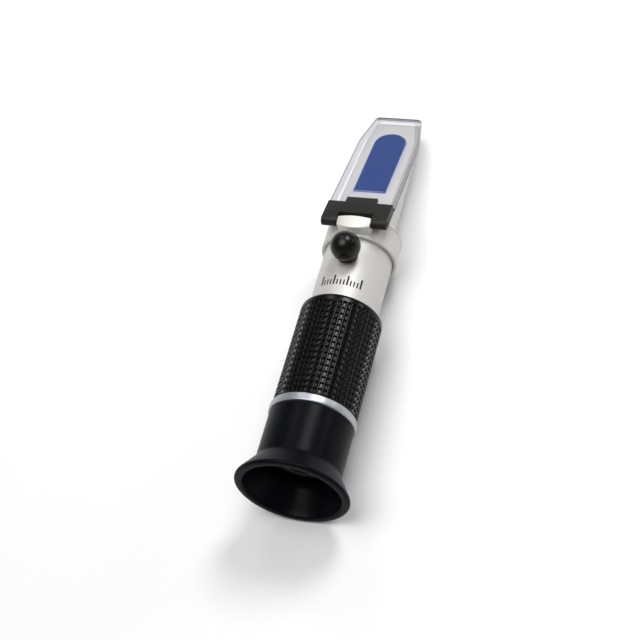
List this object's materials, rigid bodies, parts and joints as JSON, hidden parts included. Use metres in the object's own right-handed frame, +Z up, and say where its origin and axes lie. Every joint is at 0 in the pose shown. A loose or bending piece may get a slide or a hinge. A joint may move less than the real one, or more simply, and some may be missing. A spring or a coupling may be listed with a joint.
{
  "type": "handheld refractometer",
  "caption": "Handheld refractometer for must and wort: eyecup, knurled grip, aluminium barrel, sloping prism under a hinged clear daylight plate, and a capped calibration screw.",
  "frame": {"origin": "centre of the bounding box's bottom face, straight under the optical axis", "axes": "+Y along the optical axis from the eyecup to the prism end, +Z up on the prism and cover side, +X to the user's right"},
  "size_m": [0.04, 0.167, 0.0435],
  "materials": {
    "barrel_aluminium": "satin",
    "trim_aluminium": "bright satin",
    "housing_metal": "satin, slightly warm",
    "grip_rubber": "knurled, semi-gloss",
    "eyecup_rubber": "semi-gloss",
    "cap_rubber": "glossy",
    "seal_rubber": "matte",
    "bracket_plastic": "fine matte",
    "plate_acrylic": "clear, polished",
    "prism_glass": "polished, blue",
    "cement": "satin",
    "optical_glass": "polished, coated",
    "black_anodised": "black anodised",
    "steel": "turned",
    "brass": "turned",
    "bimetal": "rolled"
  },
  "bodies": {
    "barrel": {"main_barrel": "barrel_aluminium", "grip_sleeve": "grip_rubber", "trim_ring": "trim_aluminium", "prism_housing": "housing_metal", "hinge_pin": "steel", "collar_grub_screw": "steel", "collar_seal_ring": "seal_rubber", "main_prism": "prism_glass", "prism_cement": "cement", "prism_backing_plate": "black_anodised", "backing_screw_front": "steel", "backing_screw_rear": "steel", "screw_bush": "brass", "light_baffle": "black_anodised", "reticle_holder": "black_anodised", "reticle_disc": "optical_glass", "reticle_retaining_ring": "black_anodised"},
    "cover": {"daylight_plate": "plate_acrylic", "cover_bracket": "bracket_plastic"},
    "focus_carriage": {"lens_cell": "black_anodised", "focus_guide_pin": "steel", "lens_retaining_ring": "black_anodised", "eye_lens": "optical_glass", "lens_spacer": "black_anodised", "field_lens": "optical_glass"},
    "eyepiece": {"eyecup": "eyecup_rubber", "focus_sleeve": "black_anodised", "focus_seal_ring": "seal_rubber"},
    "calibration_screw": {"calibration_screw": "steel"},
    "compensator": {"compensator_block": "brass", "bimetal_strip": "bimetal", "strip_screw_rear": "steel", "strip_screw_front": "steel", "objective_cell": "black_anodised", "objective_lens": "optical_glass"},
    "screw_cap": {"screw_cap": "cap_rubber"}
  },
  "joints": [
    {"name": "cover_hinge", "type": "hinge", "parent": "barrel", "child": "cover", "pos_m": [0, 0.0192, 0.0361], "axis": [1, 0, 0], "range_deg": [0, 100]},
    {"name": "focus_slide", "type": "slide", "parent": "barrel", "child": "focus_carriage", "axis": [0, -1, 0], "range_m": [0, 0.0046]},
    {"name": "focus_turn", "type": "hinge", "parent": "focus_carriage", "child": "eyepiece", "pos_m": [0, -0.06, 0.02], "axis": [0, -1, 0], "range_deg": [0, 332]},
    {"name": "calibration_turn", "type": "hinge", "parent": "barrel", "child": "calibration_screw", "pos_m": [0, 0.0068, 0.03], "axis": [0, 0, 1], "range_deg": [-290, 290]},
    {"name": "calibration_shift", "type": "slide", "parent": "barrel", "child": "compensator", "axis": [0, 0, 1], "range_m": [-0.0004, 0.0004]},
    {"name": "cap_pull", "type": "slide", "parent": "barrel", "child": "screw_cap", "axis": [0, 0, 1], "range_m": [0, 0.012]}
  ],
  "couplings": [
    {"joint": "focus_turn", "follows": "focus_slide", "rad_per_m": 1256.6},
    {"joint": "calibration_turn", "follows": "calibration_shift", "rad_per_m": -12566}
  ]
}
